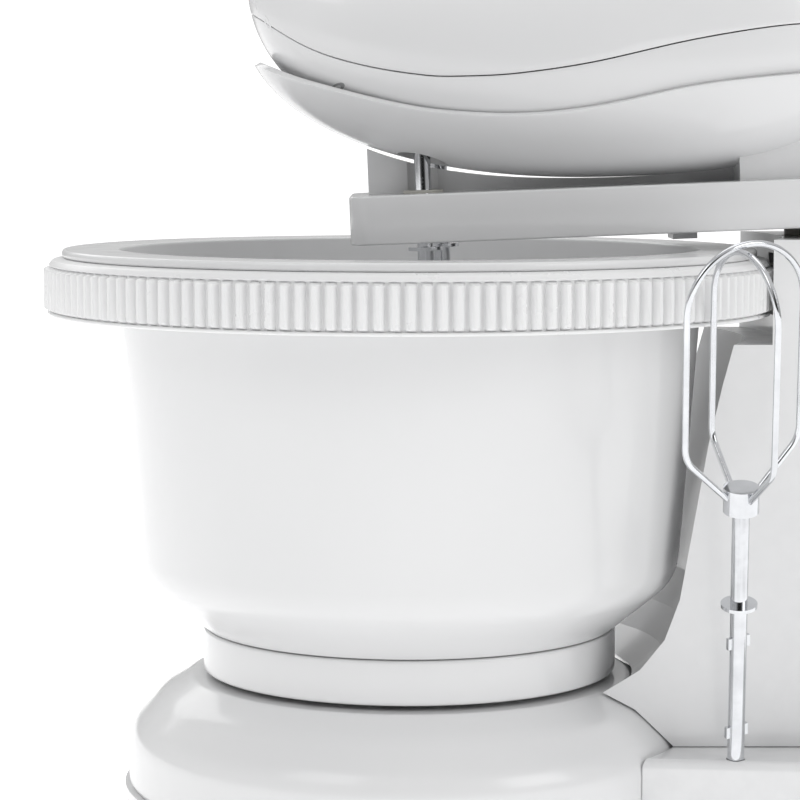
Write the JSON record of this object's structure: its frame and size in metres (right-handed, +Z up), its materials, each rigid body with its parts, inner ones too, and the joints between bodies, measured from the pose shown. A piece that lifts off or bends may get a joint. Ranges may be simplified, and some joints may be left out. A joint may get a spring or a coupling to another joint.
{
  "type": "stand mixer",
  "caption": "White stand mixer: a hand mixer on a tilting arm turns chromed beaters in a geared bowl that rotates on its base, with a spare beater parked beside the column.",
  "frame": {"origin": "middle of the footprint's bounding box, on the surface it stands on", "axes": "+Z up, -X towards the nose and the bowl, +X towards the column, -Y the side with the spare beater"},
  "size_m": [0.3314, 0.2548, 0.3581],
  "materials": {
    "white_shell": "glossy injection moulded white ABS",
    "bowl_plastic": "glossy white polypropylene",
    "ring_plastic": "satin white moulded ring",
    "grey_trim": "light grey moulded plastic",
    "inner_plastic": "natural nylon",
    "chromed_steel": "bright chromed steel wire",
    "plain_steel": "turned steel",
    "copper_brass": "copper bars",
    "dark_carbon": "carbon and phenolic",
    "foot_rubber": "soft pale rubber"
  },
  "bodies": {
    "stand": {"base_bottom_tray": "white_shell", "rubber_feet": "foot_rubber", "base_drum_shell": "white_shell", "base_rear_shell": "white_shell", "base_screws": "plain_steel", "turntable_pivot": "inner_plastic", "turntable_bush": "inner_plastic", "column_shell": "white_shell", "column_back_cover": "white_shell", "pinion_bracket": "inner_plastic", "hinge_pin": "plain_steel", "tilt_button_spring": "plain_steel"},
    "bowl_set": {"turntable": "white_shell", "bowl": "bowl_plastic", "gear_ring": "ring_plastic"},
    "pinion": {"drive_pinion": "inner_plastic"},
    "tilt_button": {"tilt_release_button": "grey_trim"},
    "arm": {"arm_housing": "white_shell", "arm_bottom_cover": "white_shell", "gear_axles": "plain_steel", "arm_screws": "plain_steel", "mixer_saddle": "white_shell"},
    "latch": {"mixer_release_button": "grey_trim"},
    "near_bush": {"near_gear_bush": "inner_plastic"},
    "far_bush": {"far_guide_bush": "inner_plastic"},
    "idler_one": {"idler_gear_first": "inner_plastic"},
    "idler_two": {"idler_gear_second": "inner_plastic"},
    "idler_three": {"idler_gear_third": "inner_plastic"},
    "output": {"output_gear": "inner_plastic"},
    "near_beater": {"near_beater_shaft": "chromed_steel", "near_beater_wires": "chromed_steel"},
    "far_beater": {"far_beater_shaft": "chromed_steel", "far_beater_wires": "chromed_steel"},
    "spare_beater": {"spare_beater_shaft": "chromed_steel", "spare_beater_wires": "chromed_steel"},
    "hand_mixer": {"head_lower_hull": "white_shell", "head_middle_band": "white_shell", "head_upper_shell": "white_shell", "handle_shell": "white_shell", "motor_stator": "plain_steel", "motor_bearings": "plain_steel", "carbon_brushes": "dark_carbon", "gearbox_bracket": "inner_plastic", "motor_tail_bracket": "inner_plastic", "speed_switch": "dark_carbon", "cord_gland": "grey_trim"},
    "armature": {"motor_worm_shaft": "plain_steel", "rotor_core": "plain_steel", "commutator": "copper_brass", "cooling_fan": "inner_plastic"},
    "near_spindle": {"near_worm_wheel": "inner_plastic"},
    "far_spindle": {"far_worm_wheel": "inner_plastic"},
    "eject": {"eject_button": "grey_trim"},
    "selector": {"speed_selector": "grey_trim"},
    "turbo": {"turbo_button": "grey_trim"}
  },
  "joints": [
    {"name": "motor_spin", "type": "hinge", "parent": "hand_mixer", "child": "armature", "pos_m": [-0.04082, 0, 0.2758], "axis": [0.9992, 0, 0.0401], "continuous": true},
    {"name": "bowl_spin", "type": "hinge", "parent": "stand", "child": "bowl_set", "pos_m": [-0.03829, 0, 0], "axis": [0, 0, 1], "continuous": true},
    {"name": "pinion_spin", "type": "hinge", "parent": "stand", "child": "pinion", "pos_m": [0.10041, 0, 0.18], "axis": [0, 0, 1], "continuous": true},
    {"name": "arm_tilt", "type": "hinge", "parent": "stand", "child": "arm", "pos_m": [0.13971, 0, 0.2163], "axis": [0, 1, 0], "range_deg": [0, 60]},
    {"name": "tilt_button_press", "type": "slide", "parent": "stand", "child": "tilt_button", "axis": [0, 1, 0], "range_m": [0, 0.003], "stiffness_N_per_m": 400, "springref_m": -0.003},
    {"name": "latch_press", "type": "slide", "parent": "arm", "child": "latch", "axis": [0.0401, 0, -0.9992], "range_m": [0, 0.003], "stiffness_N_per_m": 400, "springref_m": -0.003},
    {"name": "near_bush_spin", "type": "hinge", "parent": "arm", "child": "near_bush", "pos_m": [-0.0331, -0.0124, 0.20806], "axis": [-0.0401, 0, 0.9992], "continuous": true},
    {"name": "far_bush_spin", "type": "hinge", "parent": "arm", "child": "far_bush", "pos_m": [-0.0271, 0.0124, 0.2083], "axis": [-0.0401, 0, 0.9992], "continuous": true},
    {"name": "idler_one_spin", "type": "hinge", "parent": "arm", "child": "idler_one", "pos_m": [-0.00927, -0.0124, 0.20902], "axis": [-0.0401, 0, 0.9992], "continuous": true},
    {"name": "idler_two_spin", "type": "hinge", "parent": "arm", "child": "idler_two", "pos_m": [0.02434, -0.0086, 0.21037], "axis": [-0.0401, 0, 0.9992], "continuous": true},
    {"name": "idler_three_spin", "type": "hinge", "parent": "arm", "child": "idler_three", "pos_m": [0.06105, -0.00062, 0.21184], "axis": [-0.0401, 0, 0.9992], "continuous": true},
    {"name": "output_spin", "type": "hinge", "parent": "arm", "child": "output", "pos_m": [0.10049, 0, 0.21342], "axis": [-0.0401, 0, 0.9992], "continuous": true},
    {"name": "near_beater_drop", "type": "slide", "parent": "near_bush", "child": "near_beater", "axis": [0.0401, 0, -0.9992], "range_m": [0, 0.008]},
    {"name": "far_beater_drop", "type": "slide", "parent": "far_bush", "child": "far_beater", "axis": [0.0401, 0, -0.9992], "range_m": [0, 0.008]},
    {"name": "spare_beater_lift", "type": "slide", "parent": "stand", "child": "spare_beater", "axis": [-0.0279, -0.2839, 0.9584], "range_m": [0, 0.2]},
    {"name": "mixer_lift", "type": "slide", "parent": "arm", "child": "hand_mixer", "axis": [-0.0401, 0, 0.9992], "range_m": [0, 0.09]},
    {"name": "near_spindle_spin", "type": "hinge", "parent": "hand_mixer", "child": "near_spindle", "pos_m": [-0.03491, -0.0124, 0.25302], "axis": [-0.0401, 0, 0.9992], "continuous": true},
    {"name": "far_spindle_spin", "type": "hinge", "parent": "hand_mixer", "child": "far_spindle", "pos_m": [-0.02891, 0.0124, 0.25326], "axis": [-0.0401, 0, 0.9992], "continuous": true},
    {"name": "eject_press", "type": "slide", "parent": "hand_mixer", "child": "eject", "axis": [0.0401, 0, -0.9992], "range_m": [0, 0.008], "stiffness_N_per_m": 600, "springref_m": -0.006},
    {"name": "selector_slide", "type": "slide", "parent": "hand_mixer", "child": "selector", "axis": [0.9992, 0, 0.0401], "range_m": [0, 0.014]},
    {"name": "turbo_press", "type": "slide", "parent": "hand_mixer", "child": "turbo", "axis": [0.0401, 0, -0.9992], "range_m": [0, 0.0025], "stiffness_N_per_m": 500, "springref_m": -0.003}
  ],
  "couplings": [
    {"joint": "near_spindle_spin", "follows": "motor_spin", "ratio": 0.05},
    {"joint": "far_spindle_spin", "follows": "motor_spin", "ratio": -0.05},
    {"joint": "near_bush_spin", "follows": "motor_spin", "ratio": 0.05},
    {"joint": "far_bush_spin", "follows": "motor_spin", "ratio": -0.05},
    {"joint": "idler_one_spin", "follows": "motor_spin", "ratio": -0.029167},
    {"joint": "idler_two_spin", "follows": "motor_spin", "ratio": 0.023333},
    {"joint": "idler_three_spin", "follows": "motor_spin", "ratio": -0.023333},
    {"joint": "output_spin", "follows": "motor_spin", "ratio": 0.021212},
    {"joint": "pinion_spin", "follows": "motor_spin", "ratio": 0.021212},
    {"joint": "bowl_spin", "follows": "motor_spin", "ratio": -0.0021212},
    {"joint": "near_beater_drop", "follows": "eject_press", "ratio": 1},
    {"joint": "far_beater_drop", "follows": "eject_press", "ratio": 1}
  ]
}
